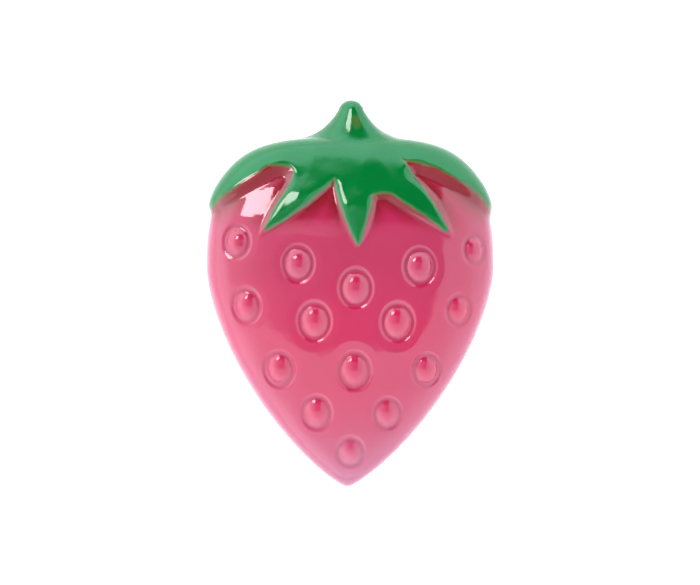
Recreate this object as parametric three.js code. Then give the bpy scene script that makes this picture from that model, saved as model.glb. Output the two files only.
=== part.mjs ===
// A strawberry sweet of glossy moulded jelly, lying on the flat back that it left the mould with.
// Millimetres, +Z up. The stem end points toward +Y, the tip toward -Y, and the origin is on the
// resting plane under the middle of the sweet.

import * as THREE from "three";
import { ConvexHull } from "three/addons/math/ConvexHull.js";

// Driving sizes of the pink body, without its relief
const HALF_WIDTH = 15.03;
const WIDEST_Y = 2.5;
const BODY_RISE = 7.3;
const FOOT_ROUND = 0.6;
const SECTION_POWER = 2.4;
const RISE_POWER = 4;
const SHOULDER = { length: 13.1, along: 2.2, across: 3.9, fall: 0.41 };
const TAPER = { length: 22.6, along: 1.56, across: 1.34, fall: 0 };
const TIP_LEAN = 0.22;
const SHOULDER_SLANT = 0.008;

// The stub of stem that the shoulders flow up into
const STEM = {
  x: -0.12,
  tipY: 18.56,
  rootY: 13.6,
  tipRadius: 0.95,
  rootRadius: 3.7,
  tipRise: 1.7,
  rootRise: 3.2,
  lean: 0.2,
  leanTo: 2.4,
  blend: 3.4,
  blendTop: 1.5,
  blendFade: 3.0,
};

// Leaf cap: a green skin of jelly in a shallow seat, its top standing proud of the body
const LEAF_PROUD = 0.7;
const LEAF_UNDERSIDE = 0.15;
const LEAF_EDGE = 0.45;
const LEAF_HEM = 0.6;
const LEAF_ROUNDING = 0.85;
const SEAT_DEPTH = 0.15;
const SEAT_EDGE = 0.3;
const CAP_LOWEST = 0.95;

// Outline of the cap seen from above, from the left side leaf to the right side leaf: tips and the
// notches between them, with how far each edge bows away from a straight line. A notch is one point,
// or a round with a start, a pull and an end.
const LEAF_TIPS = [
  [-14.7, 7.9],
  [-9.1, 6.1],
  [0.82, 4.75],
  [10.3, 5.95],
  [14.7, 7.7],
];
const LEAF_NOTCHES = [
  { turn: [[-8.2, 12.55], [-5.35, 12.95], [-5.7, 11.4]], bowBefore: -0.2, bowAfter: 0.25 },
  { turn: [[-1.65, 11.35]], bowBefore: 0.35, bowAfter: 0.35 },
  { turn: [[2.6, 9.85], [3.4, 10.15], [4.2, 9.85]], bowBefore: 0.3, bowAfter: 0.05 },
  { turn: [[5.85, 13.35]], bowBefore: 0.3, bowAfter: -1.0 },
];

// Seeds: a low oval bump in a shallow oval dimple; each has its place and its size against the middle ones
const SEED = { dimpleX: 1.96, dimpleY: 2.42, bump: 0.57, depth: 0.2, height: 0.25 };
const SEEDS = [
  [-11.8, 5.3, 0.88], [-5.4, 3.0, 0.96], [0.6, 0.45, 1.0], [7.25, 2.7, 0.98], [13.0, 4.45, 0.8],
  [-10.8, -1.4, 0.92], [-3.7, -3.0, 1.0], [4.95, -3.1, 1.0], [11.35, -1.85, 0.84],
  [-7.4, -8.0, 0.97], [0.45, -8.1, 1.0], [8.0, -8.1, 0.9],
  [-3.5, -12.5, 0.93], [3.9, -12.6, 0.87],
  [0.05, -16.65, 0.86],
];
const SEED_RINGS = [
  { share: 0.26, count: 6 },
  { share: 0.43, count: 11 },
  { share: 0.53, count: 14 },
  { share: 0.6, count: 14 },
  { share: 0.78, count: 15 },
  { share: 0.93, count: 17 },
  { share: 1.08, count: 17 },
];

// Spacing of the facets
const RIM_FACETS = 128;
const EDGE_STEP = 0.62;
const BODY_STEP = 1.2;
const HIDDEN_STEP = 2.0;
const STEM_STEP = 0.62;
const CAP_STEP = 1.05;
const CANDIDATES = 42000;

// Every point of the surface is seen from this one inside the body
const CENTRE = new THREE.Vector3(0, 2.0, 1.4);
const REACH = 32;

function bodyShape(x, y, z) {
  const end = y > WIDEST_Y ? SHOULDER : TAPER;
  const slant = 1 + (y > WIDEST_Y ? SHOULDER_SLANT * x : 0) / end.length;
  const along = (Math.abs(y - WIDEST_Y) / end.length) * slant;
  const lean = y < WIDEST_Y ? TIP_LEAN * along * along : 0;
  const side = Math.abs(x + lean) / HALF_WIDTH;
  const rise = BODY_RISE * (1 - end.fall * Math.min(along, 1.2) ** 2);
  const lift = Math.max(z - FOOT_ROUND, 0) / rise;
  const section = (side ** SECTION_POWER + lift ** RISE_POWER) ** (1 / SECTION_POWER);
  return section ** end.across + along ** end.along - 1;
}

function slopeOf(field, x, y, z) {
  const e = 0.01;
  return new THREE.Vector3(
    (field(x + e, y, z) - field(x - e, y, z)) / (2 * e),
    (field(x, y + e, z) - field(x, y - e, z)) / (2 * e),
    (field(x, y, z + e) - field(x, y, z - e)) / (2 * e),
  );
}

function stemDistance(x, y, z) {
  const share = THREE.MathUtils.clamp((STEM.tipY - y) / (STEM.tipY - STEM.rootY), 0, 1);
  const radius = THREE.MathUtils.lerp(STEM.tipRadius, STEM.rootRadius, share);
  const rise = THREE.MathUtils.lerp(STEM.tipRise, STEM.rootRise, share);
  const axisY = THREE.MathUtils.lerp(STEM.tipY, STEM.rootY, share);
  const high = Math.max(z - FOOT_ROUND, 0);
  const lean = STEM.lean * Math.min(high, STEM.leanTo) ** 2;
  const out = Math.hypot(x - STEM.x - lean, y - axisY) / radius;
  return radius * (Math.sqrt(out ** 2 + (high / rise) ** RISE_POWER) - 1);
}

// Distance to the smooth surface under the relief, negative inside
function smoothForm(x, y, z) {
  const value = bodyShape(x, y, z);
  const body = value / Math.max(slopeOf(bodyShape, x, y, z).length(), 0.02);
  const stem = stemDistance(x, y, z);
  const low = THREE.MathUtils.clamp(1 - (z - FOOT_ROUND) / STEM.blendFade, 0, 1);
  const blend = THREE.MathUtils.lerp(STEM.blendTop, STEM.blend, low);
  const near = Math.max(blend - Math.abs(body - stem), 0) / blend;
  return Math.min(body, stem) - (near * near * blend) / 4;
}

// The place where a line from a point inside meets the smooth surface
function meet(from, direction, reach) {
  let inside = 0;
  let outside = reach;
  for (let i = 0; i < 40; i += 1) {
    const half = (inside + outside) / 2;
    const p = from.clone().addScaledVector(direction, half);
    if (smoothForm(p.x, p.y, p.z) < 0) inside = half;
    else outside = half;
  }
  return from.clone().addScaledVector(direction, (inside + outside) / 2);
}

const castOut = (toward) => meet(CENTRE, toward.clone().sub(CENTRE).normalize(), REACH);
const castUp = (x, y) => meet(new THREE.Vector3(x, y, FOOT_ROUND), new THREE.Vector3(0, 0, 1), 14);
const castSide = (y, z, side) => meet(new THREE.Vector3(0, y, z), new THREE.Vector3(side, 0, 0), 20);

function normalAt(p) {
  return slopeOf(smoothForm, p.x, p.y, Math.max(p.z, FOOT_ROUND + 0.01)).normalize();
}

// Outline of the cap

function bowed(start, end, bow) {
  const a = new THREE.Vector2(...start);
  const b = new THREE.Vector2(...end);
  const across = b.clone().sub(a).normalize();
  const middle = a.clone().add(b).multiplyScalar(0.5);
  middle.add(new THREE.Vector2(across.y, -across.x).multiplyScalar(2 * bow));
  return new THREE.QuadraticBezierCurve(a, middle, b);
}

function capCurves() {
  return LEAF_NOTCHES.flatMap(({ turn, bowBefore, bowAfter }, i) => {
    const points = turn.map((point) => new THREE.Vector2(...point));
    const round = points.length > 1 ? [new THREE.QuadraticBezierCurve(...points)] : [];
    const rise = bowed(LEAF_TIPS[i], turn[0], bowBefore);
    return [rise, ...round, bowed(turn.at(-1), LEAF_TIPS[i + 1], bowAfter)];
  });
}

const CAP_CURVES = capCurves();
const CAP_EDGE = CAP_CURVES.flatMap((curve, i) => curve.getPoints(14).slice(i === 0 ? 0 : 1));
const WALL_TOP = 2.6;
const FAR = 30;
const CAP_REGION = [
  new THREE.Vector2(-FAR, LEAF_TIPS[0][1]),
  ...CAP_EDGE,
  new THREE.Vector2(FAR, LEAF_TIPS[4][1]),
  new THREE.Vector2(FAR, FAR),
  new THREE.Vector2(-FAR, FAR),
];

// How far a place seen from above is inside the cap's outline, negative outside
function insideCap(x, y) {
  let nearest = Infinity;
  let inside = false;
  CAP_REGION.forEach((a, i) => {
    const b = CAP_REGION[(i + 1) % CAP_REGION.length];
    const dx = b.x - a.x;
    const dy = b.y - a.y;
    const share = THREE.MathUtils.clamp(((x - a.x) * dx + (y - a.y) * dy) / (dx * dx + dy * dy), 0, 1);
    nearest = Math.min(nearest, Math.hypot(x - a.x - share * dx, y - a.y - share * dy));
    if (a.y > y !== b.y > y && x < a.x + ((y - a.y) * dx) / dy) inside = !inside;
  });
  return inside ? nearest : -nearest;
}

// Seeds

function seedFrame([x, y, size]) {
  const at = castUp(x, y);
  const out = normalAt(at);
  const right = new THREE.Vector3(1, 0, 0).addScaledVector(out, -out.x).normalize();
  const up = new THREE.Vector3().crossVectors(out, right);
  return { at, right, up, halfX: SEED.dimpleX * size, halfY: SEED.dimpleY * size, size };
}

const SEED_FRAMES = SEEDS.map(seedFrame);

function seedRelief(p) {
  let height = 0;
  for (const seed of SEED_FRAMES) {
    const away = p.clone().sub(seed.at);
    const share = Math.hypot(away.dot(seed.right) / seed.halfX, away.dot(seed.up) / seed.halfY);
    if (share < SEED.bump) {
      const dome = 1 - (share / SEED.bump) ** 2;
      height += seed.size * ((SEED.depth + SEED.height) * dome - SEED.depth);
    } else if (share < 1) {
      const climb = (share - SEED.bump) / (1 - SEED.bump);
      height -= seed.size * SEED.depth * (1 - climb ** 2.5);
    }
  }
  return height;
}

// Relief of the pink body and of the cap, along the surface normal

function bodyRelief(p) {
  const depth = insideCap(p.x, p.y);
  if (p.z > CAP_LOWEST && depth > 0) return -SEAT_DEPTH * Math.min(depth / SEAT_EDGE, 1);
  return seedRelief(p);
}

function capTop(p) {
  const share = THREE.MathUtils.clamp(insideCap(p.x, p.y) / LEAF_ROUNDING, 0, 1);
  return LEAF_EDGE + (LEAF_PROUD - LEAF_EDGE) * Math.sqrt(1 - (1 - share) ** 2);
}

// Points of the surface, first where an edge runs and then evenly between

function keepIfClear(kept, p, step) {
  const near = kept.some((q) => Math.abs(q.x - p.x) < step && q.distanceTo(p) < step);
  if (!near) kept.push(p);
}

// A dense line shared out into equal steps of about the given length
function evenSteps(dense, step) {
  const line = new THREE.CatmullRomCurve3(dense);
  return line.getSpacedPoints(Math.max(1, Math.round(line.getLength() / step)));
}

// The cap's edge down a side wall, from a low height to where the top takes over
function wallLine(side, lowest) {
  const y = side < 0 ? LEAF_TIPS[0][1] : LEAF_TIPS[4][1];
  const heights = Array.from({ length: 25 }, (_, i) => THREE.MathUtils.lerp(lowest, WALL_TOP, i / 24));
  return heights.map((z) => castSide(y, z, side));
}

// The cap's edge on the surface, with a point at every corner
function capBorder() {
  const stretches = CAP_CURVES.map((curve) =>
    curve
      .getPoints(120)
      .filter((p) => smoothForm(p.x, p.y, FOOT_ROUND + 0.5) < -0.02)
      .map((p) => castUp(p.x, p.y)),
  );
  const last = stretches.length - 1;
  stretches[0] = [...wallLine(-1, CAP_LOWEST), ...stretches[0].filter((p) => p.z > WALL_TOP)];
  stretches[last] = [...stretches[last].filter((p) => p.z > WALL_TOP), ...wallLine(1, CAP_LOWEST).reverse()];
  return stretches.flatMap((dense, i) => evenSteps(dense, EDGE_STEP).slice(i === 0 ? 0 : 1));
}

// A line inside the cap that follows its border at a set distance
function capInset(border, distance) {
  const line = [];
  border.forEach((p, i) => {
    const before = border[Math.max(i - 1, 0)];
    const after = border[Math.min(i + 1, border.length - 1)];
    const along = after.clone().sub(before);
    const inward = new THREE.Vector3().crossVectors(normalAt(p), along).normalize();
    const q = castOut(p.clone().addScaledVector(inward, distance));
    const room = Math.min(...border.map((other) => other.distanceTo(q)));
    if (room > 0.85 * distance) line.push(q);
  });
  return line;
}

// A closed ring round the body at one height, its points evenly spaced
function ringAt(z, count) {
  const dense = [];
  for (let i = 0; i < 720; i += 1) {
    const angle = (i / 720) * 2 * Math.PI;
    const from = new THREE.Vector3(CENTRE.x, CENTRE.y, z);
    dense.push(meet(from, new THREE.Vector3(Math.cos(angle), Math.sin(angle), 0), REACH));
  }
  const ring = new THREE.CatmullRomCurve3(dense, true);
  ring.arcLengthDivisions = 1440;
  return ring.getSpacedPoints(count).slice(0, -1);
}

// Directions spread evenly over a ball, by the golden angle
function ballDirections(count) {
  const golden = Math.PI * (3 - Math.sqrt(5));
  return Array.from({ length: count }, (_, i) => {
    const z = 1 - (2 * (i + 0.5)) / count;
    const flat = Math.sqrt(1 - z * z);
    return new THREE.Vector3(flat * Math.cos(i * golden), flat * Math.sin(i * golden), z);
  });
}

const SURFACE = ballDirections(CANDIDATES)
  .filter((direction) => direction.z > -0.12)
  .map((direction) => meet(CENTRE, direction, REACH))
  .filter((p) => p.z > FOOT_ROUND + 0.25);

// Triangles over points as seen from the centre
function trianglesOver(points) {
  const directions = points.map((p) => p.clone().sub(CENTRE).normalize());
  const order = new Map(directions.map((direction, i) => [direction, i]));
  const hull = new ConvexHull().setFromPoints(directions);
  return hull.faces.map((face) => {
    const corners = [];
    let edge = face.edge;
    do {
      corners.push(order.get(edge.head().point));
      edge = edge.next;
    } while (edge !== face.edge);
    return corners;
  });
}

// The triangles that a closed border holds: points 0 to count - 1 are the border in order
function regionInside(triangles, count, seedPoint) {
  const isBorder = (a, b) => a < count && b < count && [1, count - 1].includes(Math.abs(a - b));
  const owner = new Map();
  const edges = ([a, b, c]) => [[a, b], [b, c], [c, a]];
  triangles.forEach((triangle) => edges(triangle).forEach(([a, b]) => owner.set(`${a},${b}`, triangle)));
  const found = new Set([triangles.find((triangle) => triangle.includes(seedPoint))]);
  for (const triangle of found) {
    for (const [a, b] of edges(triangle)) {
      if (!isBorder(a, b)) found.add(owner.get(`${b},${a}`));
    }
  }
  return [...found];
}

function solid(name, positions, triangles, material) {
  const geometry = new THREE.BufferGeometry();
  const flat = positions.flatMap((p) => [p.x, p.y, p.z]);
  geometry.setAttribute("position", new THREE.Float32BufferAttribute(flat, 3));
  geometry.setIndex(triangles.flat());
  geometry.computeVertexNormals();
  const mesh = new THREE.Mesh(geometry, material);
  mesh.name = name;
  return mesh;
}

// The pink body: domed front with seeds and the seat of the cap, rounded foot and flat back
function berryBody() {
  const rim = ringAt(FOOT_ROUND, RIM_FACETS);
  const kept = rim.slice();
  const keep = (p, step) => keepIfClear(kept, p, step);
  const border = capBorder();
  [...border, ...capInset(border, SEAT_EDGE)].forEach((p) => keep(p, 0.25));
  for (const seed of SEED_FRAMES) {
    kept.push(seed.at);
    SEED_RINGS.forEach(({ share, count }, ring) => {
      for (let i = 0; i < count; i += 1) {
        const angle = ((i + 0.5 * (ring % 2)) / count) * 2 * Math.PI;
        const offset = seed.right.clone().multiplyScalar(share * seed.halfX * Math.cos(angle));
        offset.addScaledVector(seed.up, share * seed.halfY * Math.sin(angle));
        const p = castOut(seed.at.clone().add(offset));
        if (p.z > FOOT_ROUND + 0.3) keep(p, share < 0.7 ? 0.12 : 0.4);
      }
    });
  }
  for (const p of SURFACE) {
    const hidden = insideCap(p.x, p.y) > SEAT_EDGE;
    const step = p.y > STEM.rootY + 1.5 ? 1.8 * STEM_STEP : hidden ? HIDDEN_STEP : BODY_STEP;
    if (p.z > FOOT_ROUND + 0.5) keep(p, p.z < FOOT_ROUND + 1.2 ? 0.8 : step);
  }
  const dome = regionInside(trianglesOver(kept), rim.length, kept.length - 1);
  const raised = kept.map((p, i) =>
    i < rim.length ? p : p.clone().addScaledVector(normalAt(p), bodyRelief(p)),
  );
  const outward = rim.map((p) => normalAt(p).setZ(0).normalize());
  const inset = (depth, z) => rim.map((p, i) => p.clone().addScaledVector(outward[i], -depth).setZ(z));
  const slant = FOOT_ROUND * (1 - Math.SQRT1_2);
  const low = inset(slant, slant);
  const back = inset(FOOT_ROUND, 0);
  const strip = (above, below) =>
    rim.flatMap((_, i) => {
      const next = (i + 1) % rim.length;
      return [[above + i, below + i, below + next], [above + i, below + next, above + next]];
    });
  const count = kept.length;
  const flat = THREE.ShapeUtils.triangulateShape(back.map((p) => new THREE.Vector2(p.x, p.y)), []);
  const backStart = count + rim.length;
  const floor = flat.map(([a, b, c]) => [backStart + a, backStart + c, backStart + b]);
  return {
    moved: [...raised, ...low, ...back],
    triangles: [...dome, ...strip(0, count), ...strip(count, backStart), ...floor],
  };
}

// The green cap: the same surface raised, closed by an underside and a thin edge
function leafCap() {
  const border = capBorder();
  const bottom = ringAt(CAP_LOWEST, RIM_FACETS * 8).filter((p) => insideCap(p.x, p.y) > 0);
  const hem = evenSteps([border[border.length - 1], ...bottom, border[0]], EDGE_STEP).slice(1, -1);
  const leafPoints = border.length;
  border.push(...hem);
  const kept = border.slice();
  capInset([...border, border[0]], 0.55 * LEAF_ROUNDING).forEach((p) => keepIfClear(kept, p, 0.45));
  for (const p of SURFACE) {
    const clear = insideCap(p.x, p.y) > 0.5 && p.z > CAP_LOWEST + 0.5;
    if (clear) keepIfClear(kept, p, p.y > STEM.rootY + 1.5 ? STEM_STEP : CAP_STEP);
  }
  const top = regionInside(trianglesOver(kept), border.length, kept.length - 1);
  const outer = kept.map((p, i) => {
    const height = i < leafPoints ? LEAF_EDGE : i < border.length ? LEAF_HEM : capTop(p);
    return p.clone().addScaledVector(normalAt(p), height);
  });
  const inner = kept.map((p) => p.clone().addScaledVector(normalAt(p), LEAF_UNDERSIDE));
  const count = kept.length;
  const used = new Set(top.flatMap(([a, b, c]) => [`${a},${b}`, `${b},${c}`, `${c},${a}`]));
  const under = top.map(([a, b, c]) => [a + count, c + count, b + count]);
  const sides = [];
  for (const pair of used) {
    const [a, b] = pair.split(",").map(Number);
    if (!used.has(`${b},${a}`)) sides.push([a, a + count, b + count], [a, b + count, b]);
  }
  return { moved: [...outer, ...inner], triangles: [...top, ...under, ...sides] };
}

const jellyPink = new THREE.MeshStandardMaterial({ color: 0xe0588a, roughness: 0.12, metalness: 0 });
const jellyGreen = new THREE.MeshStandardMaterial({ color: 0x1f8f55, roughness: 0.15, metalness: 0 });

const body = berryBody();
const cap = leafCap();
const strawberry = new THREE.Group();
strawberry.add(solid("berry_body", body.moved, body.triangles, jellyPink));
strawberry.add(solid("leaf_cap", cap.moved, cap.triangles, jellyGreen));

export default strawberry;
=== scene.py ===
# %% [markdown]
# A strawberry sweet of moulded jelly. The real one is poured into an open mould: a green layer
# first, into the hollows of the leaves and the stem, and then milky pink jelly up to the brim.
# Turned out, it lies on a level back, with a glossy domed front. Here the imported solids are
# loaded as the fixed frame, and the fine surface is modelled over them at the same size.

# %% Load the frame
import bpy
import bmesh
import math
import numpy as np
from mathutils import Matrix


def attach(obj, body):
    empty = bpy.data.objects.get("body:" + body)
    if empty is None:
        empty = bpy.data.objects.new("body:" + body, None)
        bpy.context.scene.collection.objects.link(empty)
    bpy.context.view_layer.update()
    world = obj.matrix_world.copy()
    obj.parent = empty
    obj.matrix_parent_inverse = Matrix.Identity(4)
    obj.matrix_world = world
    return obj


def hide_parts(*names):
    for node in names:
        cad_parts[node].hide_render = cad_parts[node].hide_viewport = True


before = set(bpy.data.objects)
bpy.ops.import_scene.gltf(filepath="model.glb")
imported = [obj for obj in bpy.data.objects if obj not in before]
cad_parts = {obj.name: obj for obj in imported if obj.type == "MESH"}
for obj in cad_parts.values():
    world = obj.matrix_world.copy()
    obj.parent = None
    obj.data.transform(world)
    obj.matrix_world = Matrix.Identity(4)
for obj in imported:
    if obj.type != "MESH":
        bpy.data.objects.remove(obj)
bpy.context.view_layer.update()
MM = 0.001

# %% [markdown]
# The smooth form under the relief is one rule: across the berry every section is the same rounded
# arch, flatter on top than at its sides, and made smaller toward the shoulders and the tip. A
# surface like this shows every lump in its gloss, so its points are worked out from the rule
# instead of being pulled by hand. The rule turns the place of a point into one number, which is
# below zero inside the berry and above zero outside.

# %% The body's rule, in millimetres
HALF_WIDTH = 15.03
WIDEST_Y = 2.64
BODY_RISE = 7.3
FOOT_ROUND = 0.6
SECTION_POWER = 2.4
RISE_POWER = 4.0
SHOULDER = {"length": 12.96, "along": 2.36, "across": 3.9, "fall": 0.41}
TAPER = {"length": 22.96, "along": 1.583, "across": 1.267, "fall": 0.0}
FALL_STOPS = 1.2
TIP_LEAN = 0.28
SHOULDER_SLANT = -0.002


def body_shape(x, y, z):
    upper = y > WIDEST_Y
    length = np.where(upper, SHOULDER["length"], TAPER["length"])
    along_power = np.where(upper, SHOULDER["along"], TAPER["along"])
    across_power = np.where(upper, SHOULDER["across"], TAPER["across"])
    slant = 1 + np.where(upper, SHOULDER_SLANT * x, 0.0) / length
    along = np.abs(y - WIDEST_Y) / length * slant
    lean = np.where(upper, 0.0, TIP_LEAN * along * along)
    side = np.abs(x + lean) / HALF_WIDTH
    fall = np.where(upper, SHOULDER["fall"], TAPER["fall"]) * np.minimum(along, FALL_STOPS) ** 2
    lift = np.maximum(z - FOOT_ROUND, 0) / (BODY_RISE * (1 - fall))
    section = (side**SECTION_POWER + lift**RISE_POWER) ** (1 / SECTION_POWER)
    return section**across_power + along**along_power - 1


body_length = round(SHOULDER["length"] + TAPER["length"], 2)
print("body", 2 * HALF_WIDTH, "mm wide and", body_length, "mm long without the stem")

# %% [markdown]
# A stub of stem grows out of the shoulders: a peg that is wide at its root, narrow at its tip and
# leans a little to the right toward its top. Where the two rules come close together they are
# blended, widely near the table and tightly on top, so that no crease shows between them.

# %% The stem and its blend
STEM = {
    "x": 0.03, "tip_y": 18.76, "root_y": 13.55, "tip_radius": 0.74, "root_radius": 3.7,
    "tip_rise": 1.6, "root_rise": 3.2, "lean": 0.14, "lean_to": 2.4,
    "blend": 3.7, "blend_top": 1.3, "blend_fade": 3.0,
}
SLOPE_STEP = 0.01
LEAST_SLOPE = 0.02


def slope_of(field, p):
    columns = []
    for axis in range(3):
        step = np.zeros(3)
        step[axis] = SLOPE_STEP
        columns.append((field(*(p + step).T) - field(*(p - step).T)) / (2 * SLOPE_STEP))
    return np.stack(columns, axis=1)


def stem_distance(x, y, z):
    share = np.clip((STEM["tip_y"] - y) / (STEM["tip_y"] - STEM["root_y"]), 0, 1)
    radius = STEM["tip_radius"] + (STEM["root_radius"] - STEM["tip_radius"]) * share
    rise = STEM["tip_rise"] + (STEM["root_rise"] - STEM["tip_rise"]) * share
    axis_y = STEM["tip_y"] + (STEM["root_y"] - STEM["tip_y"]) * share
    high = np.maximum(z - FOOT_ROUND, 0)
    lean = STEM["lean"] * np.minimum(high, STEM["lean_to"]) ** 2
    out = np.hypot(x - STEM["x"] - lean, y - axis_y) / radius
    return radius * (np.sqrt(out**2 + (high / rise) ** RISE_POWER) - 1)


def smooth_form(x, y, z):
    p = np.stack([x, y, z], axis=1)
    steep = np.maximum(np.linalg.norm(slope_of(body_shape, p), axis=1), LEAST_SLOPE)
    body = body_shape(x, y, z) / steep
    stem = stem_distance(x, y, z)
    low = np.clip(1 - (z - FOOT_ROUND) / STEM["blend_fade"], 0, 1)
    blend = STEM["blend_top"] + (STEM["blend"] - STEM["blend_top"]) * low
    near = np.maximum(blend - np.abs(body - stem), 0) / blend
    return np.minimum(body, stem) - near * near * blend / 4


print("stem tip at", round(STEM["tip_y"] + STEM["tip_radius"], 2), "mm")

# %% [markdown]
# To find the form along a straight line, the line is halved again and again round the place where
# the rule changes its sign. Which way is outward there follows from the rule's slope.

# %% From the middle out to the form
CENTRE = np.array([0.0, 2.0, FOOT_ROUND])
FARTHEST = 32.0
HALVINGS = 26
JUST_ABOVE = 0.011


def carry_out(start, direction):
    inside = np.zeros(len(direction))
    outside = np.full(len(direction), FARTHEST)
    for _ in range(HALVINGS):
        half = (inside + outside) / 2
        p = start + direction * half[:, None]
        deep = smooth_form(*p.T) < 0
        inside = np.where(deep, half, inside)
        outside = np.where(deep, outside, half)
    return start + direction * ((inside + outside) / 2)[:, None]


def normals_at(p):
    lifted = p.copy()
    lifted[:, 2] = np.maximum(lifted[:, 2], FOOT_ROUND + JUST_ABOVE)
    slope = slope_of(smooth_form, lifted)
    return slope / np.linalg.norm(slope, axis=1)[:, None]


front = carry_out(CENTRE, np.array([[0.0, 0.0, 1.0]]))[0]
print("smooth front", front[2].round(3), "mm above the table")

# %% [markdown]
# The leaves stand proud of the berry like thick icing. Their outline is drawn once, as the maker of
# the mould would cut it: five tips, the four notches between them, and how far each edge bows out.
# A notch is a short curve with a start, a pull and an end. A second outline, a little inside the
# first, is where the green layer stops; between the two a narrow border of bare pink shows.

# %% The two leaf outlines, seen from above
LEAF_TIPS = [(-14.9, 7.9), (-9.6, 5.75), (0.8, 4.5), (10.9, 5.5), (14.9, 7.35)]
LEAF_NOTCHES = [
    {"curve": [(-8.2, 11.65), (-6.4, 12.7), (-6.6, 11.3)], "bow_before": -0.1, "bow_after": 0.25},
    {"curve": [(-1.9, 11.0), (-1.8, 11.2), (-1.7, 11.0)], "bow_before": 0.35, "bow_after": 0.45},
    {"curve": [(2.7, 9.5), (3.4, 9.9), (4.1, 9.5)], "bow_before": 0.4, "bow_after": 0.15},
    {"curve": [(6.6, 12.1), (6.9, 12.4), (7.4, 12.1)], "bow_before": 0.75, "bow_after": -0.6},
]
GREEN_TIPS = [(-14.7, 8.5), (-8.62, 6.65), (0.83, 5.16), (9.9, 6.5), (14.7, 8.3)]
GREEN_NOTCHES = [
    {"curve": [(-8.5, 13.0), (-4.9, 13.75), (-5.8, 11.45)], "bow_before": -0.2, "bow_after": 0.1},
    {"curve": [(-1.7, 11.85), (-1.6, 12.1), (-1.5, 11.7)], "bow_before": 0.3, "bow_after": 0.2},
    {"curve": [(2.1, 10.1), (3.3, 10.5), (4.3, 10.35)], "bow_before": 0.15, "bow_after": -0.05},
    {"curve": [(5.1, 13.7), (5.2, 13.85), (5.35, 13.75)], "bow_before": 0.2, "bow_after": -1.1},
]
CURVE_STEPS = 14
BEYOND = 30.0


def pulled(start, pull, end):
    start, pull, end = (np.array(point, float) for point in (start, pull, end))
    t = np.linspace(0, 1, CURVE_STEPS + 1)[:, None]
    return (1 - t) ** 2 * start + 2 * t * (1 - t) * pull + t**2 * end


def bowed(start, end, bow):
    start, end = np.array(start, float), np.array(end, float)
    across = (end - start) / np.linalg.norm(end - start)
    return pulled(start, (start + end) / 2 + 2 * bow * np.array([across[1], -across[0]]), end)


def leaf_region(tips, notches):
    edge = [np.array([tips[0]], float)]
    for i, notch in enumerate(notches):
        start, pull, end = notch["curve"]
        edge.append(bowed(tips[i], start, notch["bow_before"])[1:])
        edge.append(pulled(start, pull, end)[1:])
        edge.append(bowed(end, tips[i + 1], notch["bow_after"])[1:])
    around = [(BEYOND, tips[-1][1]), (BEYOND, BEYOND), (-BEYOND, BEYOND), (-BEYOND, tips[0][1])]
    return np.concatenate(edge + [np.array(around, float)])


CAP_REGION = leaf_region(LEAF_TIPS, LEAF_NOTCHES)
GREEN_REGION = leaf_region(GREEN_TIPS, GREEN_NOTCHES)
print("leaf outline", len(CAP_REGION), "points, green outline", len(GREEN_REGION), "points")

# %% [markdown]
# How high a leaf stands follows from how far inside its outline a point lies. On the front leaves
# the edge is rounded like a drop. The two side leaves rise in an even slanted ramp, wider toward
# the middle of the berry, and stand a little higher. That ramp is the broad pink border that shows
# beside them. Low down, where the berry turns toward the table, every edge is rounded again and
# the relief fades out. The cap swells slowly toward its middle, the two side leaves have a thick
# end, and two low swellings on the front leaves catch the lamp.

# %% Height of the leaves
LEAF_PROUD = 0.38
LEAF_SWELL = {"height": 0.2, "from": 1.6, "to": 5.0}
LEAF_HUMPS = [(-4.9, 9.9, 1.5, 0.22), (0.6, 9.2, 1.2, 0.2)]
LEAF_END = {"height": 0.19, "x": 14.0, "y": 9.7, "across": 2.6, "along": 2.2}
LEAF_ROUNDING = {"wall": 0.8, "front": 1.0}
LEAF_RAMP = {"from_x": 13.0, "width": 0.48, "wider": 0.11, "least": 0.6, "most": 1.4}
LEAF_FAN = {"y": 14.0, "side": 0.2, "front": 0.45}
SIDE_PROUD = {"height": 0.24, "from_x": 4.0, "to_x": 7.5}
RAMP_CORNER = 0.1
LEAF_WALL = (1.5, 4.0)
LEAF_FOOT = (0.0, 1.2)


def depth_inside(region, x, y):
    nearest = np.full(len(x), np.inf)
    inside = np.zeros(len(x), bool)
    for a, b in zip(region, np.roll(region, -1, axis=0)):
        d = b - a
        share = np.clip(((x - a[0]) * d[0] + (y - a[1]) * d[1]) / (d @ d), 0, 1)
        nearest = np.minimum(nearest, np.hypot(x - a[0] - share * d[0], y - a[1] - share * d[1]))
        if a[1] != b[1]:
            crosses = ((a[1] > y) != (b[1] > y)) & (x < a[0] + (y - a[1]) * d[0] / d[1])
            inside ^= crosses
    return np.where(inside, nearest, -nearest)


def soft_step(share):
    share = np.clip(share, 0, 1)
    return share * share * (3 - 2 * share)


def climb(value, low, high):
    return soft_step((value - low) / (high - low))


def rounded(share):
    return 1 - (1 - np.clip(share, 0, 1)) ** 2


def ramp(share):
    eased = share - (share - 1 + RAMP_CORNER) ** 2 / (4 * RAMP_CORNER)
    below = np.where(share < 1 - RAMP_CORNER, np.maximum(share, 0), eased)
    return np.where(share > 1 + RAMP_CORNER, 1.0, below)


def leaf_edge(depth, x, front, on_top):
    width = LEAF_RAMP["width"] + LEAF_RAMP["wider"] * (LEAF_RAMP["from_x"] - np.abs(x))
    slanted = ramp(depth / np.clip(width, LEAF_RAMP["least"], LEAF_RAMP["most"]))
    wall = rounded(depth / LEAF_ROUNDING["wall"])
    crown = rounded(depth / LEAF_ROUNDING["front"])
    return wall + (slanted + (crown - slanted) * front - wall) * on_top


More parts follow.
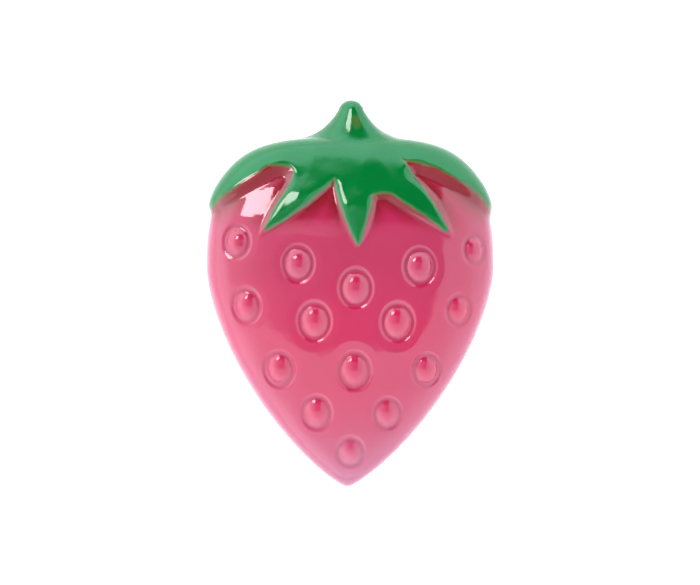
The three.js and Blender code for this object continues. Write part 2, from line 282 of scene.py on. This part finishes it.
def leaf_height(p):
    x, y, z = p.T
    depth = depth_inside(CAP_REGION, x, y)
    steep = (LEAF_FAN["y"] - y) / np.maximum(np.abs(x), 1.0)
    front = climb(steep, LEAF_FAN["side"], LEAF_FAN["front"])
    on_top = climb(z, *LEAF_WALL)
    end_x = (np.abs(x) - LEAF_END["x"]) / LEAF_END["across"]
    end_y = (y - LEAF_END["y"]) / LEAF_END["along"]
    thick = LEAF_PROUD + LEAF_END["height"] * np.exp(-(np.hypot(end_x, end_y) ** 2))
    outward = climb(np.abs(x), SIDE_PROUD["from_x"], SIDE_PROUD["to_x"])
    thick += SIDE_PROUD["height"] * (1 - front) * on_top * outward
    thick += LEAF_SWELL["height"] * climb(depth, LEAF_SWELL["from"], LEAF_SWELL["to"])
    for hump_x, hump_y, radius, height in LEAF_HUMPS:
        thick += height * np.exp(-((x - hump_x) ** 2 + (y - hump_y) ** 2) / radius**2)
    return climb(z, *LEAF_FOOT) * thick * leaf_edge(depth, x, front, on_top)


print("leaves stand", LEAF_PROUD, "mm proud near their edge, and more inside")

# %% [markdown]
# The green layer ends along the second outline. A poured edge is never quite even, so a slow wander
# of a few hundredths of a millimetre is added to it.

# %% Edge of the green
GREEN_ROUND = 0.25
WANDER = [
    {"height": 0.03, "by_x": 1.9, "by_y": 1.1, "shift": 0.0},
    {"height": 0.02, "by_x": -2.1, "by_y": 3.3, "shift": 1.0},
]


def green_depth(p):
    x, y = p.T[:2]
    wander = 0
    for wave in WANDER:
        wander += wave["height"] * np.sin(wave["by_x"] * x + wave["by_y"] * y + wave["shift"])
    return depth_inside(GREEN_REGION, x, y) + GREEN_ROUND + wander


print("green edge wanders by up to", sum(wave["height"] for wave in WANDER), "mm")

# %% [markdown]
# The seeds are not separate grains: the mould has a ring-shaped wall round each hollow, so every
# seed comes out as an oval bump in a shallow dimple. They are placed in staggered rows, and turn
# away with the surface toward the sides.

# %% Seeds
SEED = {
    "dimple_x": 2.04, "dimple_y": 2.38, "bump": 0.65, "bulge": 0.85, "wall": (0.82, 0.97),
    "depth": 0.18, "height": 0.41,
}
DISH = {"share": 1.35, "depth": 0.035}
SEEDS = [
    (-11.8, 5.3, 0.88), (-5.4, 3.0, 0.96), (0.6, 0.45, 1.0), (7.25, 2.7, 0.98), (13.0, 4.45, 0.8),
    (-10.8, -1.4, 0.92), (-3.7, -3.0, 1.0), (4.95, -3.1, 1.0), (11.35, -1.85, 0.84),
    (-7.4, -8.0, 0.97), (0.45, -8.1, 1.0), (8.0, -8.1, 0.9),
    (-3.5, -12.5, 0.93), (3.9, -12.6, 0.87),
    (0.05, -16.65, 0.86),
]


def seed_height(p):
    height = np.zeros(len(p))
    for x, y, size in SEEDS:
        at = carry_out(np.array([[x, y, FOOT_ROUND]]), np.array([[0.0, 0.0, 1.0]]))[0]
        out = normals_at(at[None])[0]
        right = np.array([1.0, 0, 0]) - out[0] * out
        right /= np.linalg.norm(right)
        up = np.cross(out, right)
        away = p - at
        half_x, half_y = SEED["dimple_x"] * size, SEED["dimple_y"] * size
        t = np.hypot(away @ right / half_x, away @ up / half_y)
        dome = np.maximum(1 - (t / SEED["bump"]) ** 2, 0) ** SEED["bulge"]
        groove = -SEED["depth"] * (1 - climb(t, *SEED["wall"]))
        dish = -DISH["depth"] * (1 - climb(t, 1, DISH["share"]))
        height += size * (dish + groove + (SEED["depth"] + SEED["height"]) * dome)
    return height


print(len(SEEDS), "seeds")

# %% [markdown]
# The blank is a cube, divided finely and blown up into a ball. Unlike a globe with poles, it has
# nearly square faces all over, which keeps the gloss even. The lower half is cut away, and the rest
# is stretched about as long and wide as the sweet. It is left too tall, because the flat top then
# gets its fair share of the faces. Below the cut edge, four strips wait for the rounded foot, and
# one face closes the back.

# %% A fine blank
BLANK_EDGE = 1.56
BLANK_CUTS = (11, 13)
BLANK_STRETCH = (15, 20, 12)
CUT_THRESHOLD = 1e-6
FOOT_STEPS = 4


def deselect_everything():
    if bpy.context.mode != "OBJECT":
        bpy.ops.object.mode_set(mode="OBJECT")
    bpy.ops.object.select_all(action="DESELECT")


def half_ball(name):
    deselect_everything()
    bpy.ops.mesh.primitive_cube_add(size=BLANK_EDGE * MM)
    blank = bpy.context.active_object
    blank.name = name
    bpy.ops.object.mode_set(mode="EDIT")
    bpy.ops.mesh.select_all(action="SELECT")
    for cuts in BLANK_CUTS:
        bpy.ops.mesh.subdivide(number_cuts=cuts)
    bpy.ops.transform.tosphere(value=1)
    bpy.ops.transform.resize(value=BLANK_STRETCH)
    bpy.ops.mesh.bisect(
        plane_co=(0, 0, 0), plane_no=(0, 0, 1), clear_inner=True, threshold=CUT_THRESHOLD
    )
    bpy.ops.object.mode_set(mode="OBJECT")
    return blank


def select_open_edge():
    bpy.ops.mesh.select_all(action="DESELECT")
    bpy.ops.mesh.select_non_manifold()


berry = half_ball("berry")
bpy.ops.object.mode_set(mode="EDIT")
for _ in range(FOOT_STEPS):
    select_open_edge()
    bpy.ops.mesh.extrude_edges_move(TRANSFORM_OT_translate={"value": (0, 0, -1 * MM)})
select_open_edge()
bpy.ops.mesh.edge_face_add()
bpy.ops.object.mode_set(mode="OBJECT")
print("blank", len(berry.data.vertices), "points,", len(berry.data.polygons), "faces")

# %% [markdown]
# Each point of the blank is sent straight out from the middle until it meets the smooth form. Then
# the relief lifts it along the surface's own outward direction, so a seed on the side stands out
# sideways, as it does in the mould. The leaves' relief is softened a little first, as jelly leaves
# no sharp corner. The strips of the foot turn under in a quarter circle.

# %% Carry the blank onto the form
LEAF_SOFTENING = 4


def read_points(piece):
    points = np.empty(len(piece.data.vertices) * 3)
    piece.data.vertices.foreach_get("co", points)
    return points.reshape(-1, 3) / MM


def write_points(piece, points):
    piece.data.vertices.foreach_set("co", (points * MM).ravel())
    piece.data.update()


def onto_form(points):
    ahead = points * np.where(points[:, 2] < 0, [[1.0], [1.0], [0.0]], 1.0).T
    ahead /= np.linalg.norm(ahead, axis=1)[:, None]
    at = carry_out(CENTRE, ahead)
    return at, normals_at(at)


def softened(piece, values, rounds):
    edges = np.empty(len(piece.data.edges) * 2, int)
    piece.data.edges.foreach_get("vertices", edges)
    a, b = edges.reshape(-1, 2).T
    ends = np.concatenate([a, b])
    count = np.bincount(ends, minlength=len(values))
    for _ in range(rounds):
        around = np.bincount(ends, values[np.concatenate([b, a])], minlength=len(values))
        values = (values + around / count) / 2
    return values


blank = read_points(berry)
step = np.clip(np.round(-blank[:, 2]), 0, FOOT_STEPS)
turn = step / FOOT_STEPS * math.pi / 2
at, out = onto_form(blank)
relief = softened(berry, leaf_height(at), LEAF_SOFTENING) + seed_height(at)
outward = relief - FOOT_ROUND * (1 - np.cos(turn))
placed = at + out * outward[:, None]
placed[:, 2] = np.where(step > 0, FOOT_ROUND * (1 - np.sin(turn)), placed[:, 2])
write_points(berry, placed)
deselect_everything()
berry.select_set(True)
bpy.context.view_layer.objects.active = berry
bpy.ops.object.shade_smooth()
print("berry", np.ptp(placed, axis=0).round(3), "mm")

# %% [markdown]
# The materials need to know how near a point is to the green. That distance is kept on the mesh as
# a number for each point, and the foot gets a low one, so that it stays plain pink.

# %% Keep the distance to the green
FAR_FROM_GREEN = -1


def keep_number(piece, name, values):
    layer = piece.data.attributes.new(name, "FLOAT", "POINT")
    layer.data.foreach_set("value", values)


keep_number(berry, "green_depth", np.where(step > 0, FAR_FROM_GREEN, green_depth(at)))
print("green_depth kept on", berry.name)

# %% [markdown]
# The green layer is its own thin skin of jelly. It could be painted onto the berry, but the real
# one is poured first and is a layer with a thickness, so it is made as a second piece: the same
# blank on the same form, cut down to the leaves. Its rim dives under the pink surface, which hides
# the cut and lets the visible edge follow the drawn outline exactly.

# %% The green layer
GREEN_PROUD = 0.04
GREEN_RISES_OVER = 0.22
GREEN_SUNK = 0.12
GREEN_REACH = 0.4
GREEN_THICKNESS = 0.3

leaves = half_ball("leaves")
count = len(leaves.data.vertices)
at, out = at[:count], out[:count]
print("same blank as the berry's, off by", np.abs(read_points(leaves) - blank[:count]).max(), "mm")
depth = green_depth(at)
rise = GREEN_PROUD * soft_step(depth / GREEN_RISES_OVER)
lift = rise - GREEN_SUNK * soft_step(-depth / GREEN_REACH)
write_points(leaves, at + out * (relief[:count] + lift)[:, None])
keep_number(leaves, "green_depth", depth)
bpy.ops.object.mode_set(mode="EDIT")
bpy.ops.mesh.select_all(action="DESELECT")
shell = bmesh.from_edit_mesh(leaves.data)
for vertex, inside in zip(shell.verts, depth):
    vertex.select_set(bool(inside < -GREEN_REACH))
bmesh.update_edit_mesh(leaves.data)
bpy.ops.mesh.delete(type="VERT")
bpy.ops.object.mode_set(mode="OBJECT")
wall = leaves.modifiers.new("wall", "SOLIDIFY")
wall.thickness = GREEN_THICKNESS * MM
wall.offset = -1
bpy.ops.object.modifier_apply(modifier=wall.name)
bpy.ops.object.shade_smooth()
print("leaves", len(leaves.data.vertices), "points, top", read_points(leaves).max(axis=0).round(3))

# %% [markdown]
# A material is a tree of small nodes. Each helper here adds one kind of node and gives back its
# result, so that a finish can be written down as a sum: a noise of a given size in millimetres, a
# soft change between two values, a mixture of two colours, a product, a spot, a bump. Everything is
# read from the piece's own coordinates or from a number on its mesh, so a pattern stays where it is
# on the sweet.

# %% Helpers for the finishes
BUMP_STRENGTH = 0.5


def new_material(name):
    material = bpy.data.materials.new(name)
    material.use_nodes = True
    tree = material.node_tree
    return material, tree, tree.nodes["Principled BSDF"]


def noise_of(tree, size_mm):
    place = tree.nodes.new("ShaderNodeTexCoord")
    noise = tree.nodes.new("ShaderNodeTexNoise")
    noise.inputs["Scale"].default_value = 1 / (size_mm * MM)
    noise.inputs["Detail"].default_value = 2.0
    noise.inputs["Roughness"].default_value = 0.5
    tree.links.new(place.outputs["Object"], noise.inputs["Vector"])
    return noise.outputs["Fac"]


def spread_of(tree, value, low, high, to_low=0.0, to_high=1.0):
    node = tree.nodes.new("ShaderNodeMapRange")
    node.interpolation_type = "SMOOTHSTEP"
    limits = {"From Min": low, "From Max": high, "To Min": to_low, "To Max": to_high}
    for name, number in limits.items():
        node.inputs[name].default_value = number
    tree.links.new(value, node.inputs["Value"])
    return node.outputs["Result"]


def mixed(tree, share, first, second):
    node = tree.nodes.new("ShaderNodeMix")
    node.data_type = "RGBA"
    tree.links.new(share, node.inputs["Factor"])
    for name, colour in [("A", first), ("B", second)]:
        socket = next(s for s in node.inputs if s.name == name and s.type == "RGBA")
        if isinstance(colour, tuple):
            socket.default_value = (*colour, 1)
        else:
            tree.links.new(colour, socket)
    return next(s for s in node.outputs if s.type == "RGBA")


def maths(tree, operation, *values):
    node = tree.nodes.new("ShaderNodeMath")
    node.operation = operation
    for socket, value in zip(node.inputs, values):
        if isinstance(value, (int, float)):
            socket.default_value = value
        else:
            tree.links.new(value, socket)
    return node.outputs["Value"]


def product(tree, *values):
    result = values[0]
    for value in values[1:]:
        result = maths(tree, "MULTIPLY", result, value)
    return result


def place_in_mm(tree, axis):
    place = tree.nodes.new("ShaderNodeTexCoord")
    parts = tree.nodes.new("ShaderNodeSeparateXYZ")
    tree.links.new(place.outputs["Object"], parts.inputs["Vector"])
    return maths(tree, "MULTIPLY", parts.outputs[axis], 1 / MM)


def spot_at(tree, x, y, radius_x, radius_y, full, none):
    across = maths(tree, "DIVIDE", maths(tree, "SUBTRACT", place_in_mm(tree, "X"), x), radius_x)
    along = maths(tree, "DIVIDE", maths(tree, "SUBTRACT", place_in_mm(tree, "Y"), y), radius_y)
    away = maths(tree, "ADD", product(tree, across, across), product(tree, along, along))
    return spread_of(tree, away, full, none, 1.0, 0.0)


def number_on(tree, name):
    node = tree.nodes.new("ShaderNodeAttribute")
    node.attribute_name = name
    return node.outputs["Fac"]


def bumped(tree, height, distance_mm, under):
    node = tree.nodes.new("ShaderNodeBump")
    node.inputs["Strength"].default_value = BUMP_STRENGTH
    node.inputs["Distance"].default_value = distance_mm * MM
    tree.links.new(height, node.inputs["Height"])
    if under is not None:
        tree.links.new(under, node.inputs["Normal"])
    return node.outputs["Normal"]


print("helpers ready, bump strength", BUMP_STRENGTH)

# %% [markdown]
# What the two jellies have in common is set in one place: the gloss of a wet, smooth surface that
# is never perfect. A slow unevenness bends the reflections, and two finer ones on top of it keep
# them alive close up. The roughness changes from place to place as well.

# %% What both jellies share
JELLY_IOR = 1.45
GLOSS_SIZE = 1.2
GLOSS_FROM, GLOSS_TO = 0.3, 0.7
FINE_BUMP = (0.35, 0.004)


def set_sockets(shader, values):
    for name, value in values.items():
        shader.inputs[name].default_value = value


def glossy_jelly(tree, shader, roughness, bumps):
    shader.inputs["IOR"].default_value = JELLY_IOR
    gloss = spread_of(tree, noise_of(tree, GLOSS_SIZE), GLOSS_FROM, GLOSS_TO, *roughness)
    tree.links.new(gloss, shader.inputs["Roughness"])
    normal = None
    for size_mm, distance_mm in [*bumps, FINE_BUMP]:
        normal = bumped(tree, noise_of(tree, size_mm), distance_mm, normal)
    tree.links.new(normal, shader.inputs["Normal"])


print("finest unevenness", FINE_BUMP[0], "mm wide")

# %% [markdown]
# Milky pink jelly lets light in deep, red light deepest. Subsurface scattering does that, and gives
# the soft glow toward the thin edges. Faint clouds break up the pink. It is a little fuller toward
# the tip. Down the low sides it is painted paler, a painted edge light for the table's light that
# shines through the thin jelly and is mirrored there. Between the leaves, near the green, it is
# painted darker, a painted shade for the leaves' shadow. Right at the green the two jellies bleed
# into each other and turn brownish.

# %% Pink jelly
PINK = (0.37, 0.015, 0.066)
PINK_LOW = (0.47, 0.012, 0.070)
PINK_CLOUD = (0.41, 0.020, 0.080)
PINK_EDGE_LIGHT = (0.375, 0.100, 0.180)
PINK_PAINTED_SHADE = (0.225, 0.010, 0.017)
STAIN = (0.20, 0.055, 0.035)
PINK_CLOUD_SIZE = 6.0
LOW_BY_Y = (5.0, -4.0)
EDGE_LIGHT_BY_Z = (6.6, 1.0)
BETWEEN_LEAVES_BY_Y = (5.6, 9.4)
SHADE_BY_GREEN = (-2.6, -0.4)
STAIN_BY_GREEN = (-0.14, 0.02)

pink, tree, shader = new_material("pink_jelly")
length_shade = mixed(tree, spread_of(tree, place_in_mm(tree, "Y"), *LOW_BY_Y), PINK, PINK_LOW)
cloud = mixed(tree, noise_of(tree, PINK_CLOUD_SIZE), length_shade, PINK_CLOUD)
# Painted edge light: the pink turns paler toward the table, standing in for light through and on
# the thin sides.
edge_light = mixed(tree, spread_of(tree, place_in_mm(tree, "Z"), *EDGE_LIGHT_BY_Z), cloud, PINK_EDGE_LIGHT)
between = spread_of(tree, place_in_mm(tree, "Y"), *BETWEEN_LEAVES_BY_Y)
# Painted shade: the pink is darkened between the leaves and near the green, where the leaves shade
# it.
near_green = spread_of(tree, number_on(tree, "green_depth"), *SHADE_BY_GREEN)
deep = mixed(tree, product(tree, near_green, between), edge_light, PINK_PAINTED_SHADE)
stain = spread_of(tree, number_on(tree, "green_depth"), *STAIN_BY_GREEN)
# deep carries the painted shade between the leaves, mixed under the brownish band at the green.
tree.links.new(mixed(tree, stain, deep, STAIN), shader.inputs["Base Color"])
set_sockets(shader, {
    "Subsurface Weight": 1.0, "Subsurface Radius": (1.0, 0.32, 0.42),
    "Subsurface Scale": 1.0 * MM, "Specular IOR Level": 0.8,
})
glossy_jelly(tree, shader, roughness=(0.03, 0.06), bumps=[(4.0, 0.06), (1.5, 0.02)])
berry.data.materials.append(pink)
print("pink", pink.name, len(tree.nodes), "nodes")

# %% [markdown]
# The green jelly is nearly opaque, so it scatters only just under its skin. It turns yellower where
# the layer runs thin along its edge, and it has a small olive patch on the stem.

# %% Green jelly
GREEN = (0.0003, 0.102, 0.017)
GREEN_CLOUD = (0.001, 0.135, 0.023)
GREEN_EDGE = (0.10, 0.10, 0.025)
OLIVE = (0.045, 0.11, 0.020)
OLIVE_SPOT = {"x": 0.7, "y": 17.8, "radius_x": 0.5, "radius_y": 0.8, "full": 0.3, "none": 1.4}
GREEN_CLOUD_SIZE = 5.0
EDGE_BY_GREEN = (0.0, 0.28)

green, tree, shader = new_material("green_jelly")
cloud = mixed(tree, noise_of(tree, GREEN_CLOUD_SIZE), GREEN, GREEN_CLOUD)
edge = spread_of(tree, number_on(tree, "green_depth"), *EDGE_BY_GREEN, 1.0, 0.0)
shade = mixed(tree, spot_at(tree, **OLIVE_SPOT), mixed(tree, edge, cloud, GREEN_EDGE), OLIVE)
tree.links.new(shade, shader.inputs["Base Color"])
set_sockets(shader, {
    "Subsurface Weight": 0.4, "Subsurface Radius": (0.3, 1.0, 0.5),
    "Subsurface Scale": 0.4 * MM, "Specular IOR Level": 0.75, "Specular Tint": (0.6, 1.0, 0.85, 1),
})
glossy_jelly(tree, shader, roughness=(0.06, 0.13), bumps=[(3.0, 0.08), (1.2, 0.02)])
leaves.data.materials.append(green)
print("green", green.name, len(tree.nodes), "nodes")

# %% [markdown]
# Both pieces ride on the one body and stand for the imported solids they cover.

# %% Tie the pieces to the frame
for piece, node, slot in [(berry, "berry_body", "pink_jelly"), (leaves, "leaf_cap", "green_jelly")]:
    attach(piece, "root")
    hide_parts(node)
    print(piece.name, "replaces", node)

# %% [markdown]
# The sweet lies on a plain white table. The table glows a little by itself, which keeps it evenly
# pale right up to the sweet and lets some light into the jelly from below.

# %% Table
TABLE_SIZE = 3

deselect_everything()
bpy.ops.mesh.primitive_plane_add(size=TABLE_SIZE)
table = bpy.context.active_object
table.name = "table"
white, tree, shader = new_material("white_table")
set_sockets(shader, {
    "Base Color": (0.93, 0.93, 0.93, 1), "Roughness": 0.9,
    "Emission Color": (1.0, 1.0, 1.0, 1), "Emission Strength": 0.4,
})
table.data.materials.append(white)
print("table", TABLE_SIZE, "m wide")

# %% [markdown]
# A bright tent stands round the table. The gloss mirrors it, so the tent is part of the look: it is
# brighter toward the walls, most of all to the left, with a dim opening straight above. Inside, the
# opening is darkest at its far end and slowly brighter to the left, and has one paler pane in it.
# All this is drawn in the world's own directions, as left, right, near and far limits on the
# ceiling, in heights of the ceiling above the table.

# %% Tent
TENT_COLOUR = (0.80, 0.95, 1.0, 1)
CEILING_LIGHT = 2.0
WALL_LIGHT = 2.9
WALL_FROM_TOP = (0.4, 2.4)
WALL_TILT = {"left": 1.15, "right": 0.9}
WALL_TILT_ACROSS = (-2.0, 2.0)
OPENING = {"right": (0.38, 0.48), "left": (-1.9, -0.9), "near": (-0.36, -0.31), "far": (1.15, 2.0)}
OPENING_SKEW = 0.18
OPENING_LIGHT = {"left": 1.9, "right": 0.6}
OPENING_ACROSS = (-1.0, 0.1)
DARK = {"from": (0.30, 0.56), "left": (-0.5, -0.3), "light": 0.05}
PANE = {
    "left": (-0.30, -0.26), "right": (-0.04, 0.0), "near": (0.29, 0.33), "far": (0.46, 0.52),
    "light": 0.5,
}
LEAST_UP = 0.001

tent = bpy.data.worlds.new("tent")
bpy.context.scene.world = tent
tent.use_nodes = True
tree = tent.node_tree
sky = tree.nodes["Background"]
sky.inputs["Color"].default_value = TENT_COLOUR
toward = tree.nodes.new("ShaderNodeTexCoord")
parts = tree.nodes.new("ShaderNodeSeparateXYZ")
tree.links.new(toward.outputs["Generated"], parts.inputs["Vector"])


def window_in(tree, across, along, limits):
    return product(
        tree,
        spread_of(tree, across, *limits["left"]),
        spread_of(tree, across, *limits["right"], 1.0, 0.0),
        spread_of(tree, along, *limits["near"]),
        spread_of(tree, along, *limits["far"], 1.0, 0.0),
    )


up = maths(tree, "MAXIMUM", parts.outputs["Z"], LEAST_UP)
across = maths(tree, "DIVIDE", parts.outputs["X"], up)
along = maths(tree, "DIVIDE", parts.outputs["Y"], up)
squares = maths(tree, "ADD", product(tree, across, across), product(tree, along, along))
from_top = maths(tree, "SQRT", squares)
wall = product(
    tree,
    spread_of(tree, from_top, *WALL_FROM_TOP, CEILING_LIGHT, WALL_LIGHT),
    spread_of(tree, across, *WALL_TILT_ACROSS, WALL_TILT["left"], WALL_TILT["right"]),
)
inner = spread_of(tree, across, *OPENING_ACROSS, OPENING_LIGHT["left"], OPENING_LIGHT["right"])
dark = product(
    tree, spread_of(tree, along, *DARK["from"]), spread_of(tree, across, *DARK["left"]),
)
inner = product(tree, inner, spread_of(tree, dark, 0.0, 1.0, 1.0, DARK["light"]))
pane = product(tree, window_in(tree, across, along, PANE), PANE["light"])
inner = maths(tree, "ADD", inner, pane)
skew = product(tree, maths(tree, "MAXIMUM", along, 0.0), OPENING_SKEW)
opening = window_in(tree, maths(tree, "SUBTRACT", across, skew), along, OPENING)
outer = product(tree, wall, maths(tree, "SUBTRACT", 1.0, opening))
light = maths(tree, "ADD", outer, product(tree, inner, opening))
tree.links.new(light, sky.inputs["Strength"])
print("tent", CEILING_LIGHT, "to", WALL_LIGHT, "opening", OPENING_LIGHT)

# %% [markdown]
# One window-shaped lamp at the upper left makes the sharp white marks: the large one beside the
# first leaf and the small one on most seeds. Its place follows from where those marks sit, because
# a mirror shows what lies as far to the other side of its upright as the eye does on this side. It
# hangs level, like a ceiling panel, and its light is faintly rosy, as the marks are.

# %% Window lamp
LAMP_PLACE = (-0.325, 0.435, 0.50)
LAMP_SIZE = (0.25, 0.26)
LAMP_COLOUR = (1.0, 0.62, 0.68)
LAMP_POWER = 3.4

deselect_everything()
bpy.ops.object.light_add(type="AREA")
lamp = bpy.context.active_object
lamp.name = "window_lamp"
lamp.data.shape = "RECTANGLE"
lamp.data.size, lamp.data.size_y = LAMP_SIZE
lamp.data.color = LAMP_COLOUR
lamp.data.energy = LAMP_POWER
lamp.location = LAMP_PLACE
print("lamp at", LAMP_PLACE)

# %% [markdown]
# The camera hangs straight above and looks down, with a long lens from far away, so that the raised
# middle isn't swollen by perspective.

# %% Camera
FRAME_WIDTH = 73.1 * MM
CAMERA_HEIGHT = 0.8
SHARP_HEIGHT = 1 * MM
SENSOR_WIDTH = 36
SEES_TO = 20

deselect_everything()
bpy.ops.object.camera_add(location=(0, 0, CAMERA_HEIGHT), rotation=(0, 0, 0))
camera = bpy.context.active_object
camera.name = "camera"
camera.data.sensor_width = SENSOR_WIDTH
camera.data.lens = SENSOR_WIDTH * (CAMERA_HEIGHT - SHARP_HEIGHT) / FRAME_WIDTH
camera.data.clip_end = SEES_TO
bpy.context.scene.camera = camera
bpy.context.scene.view_settings.view_transform = "Standard"
print("lens", round(camera.data.lens, 1), "mm")
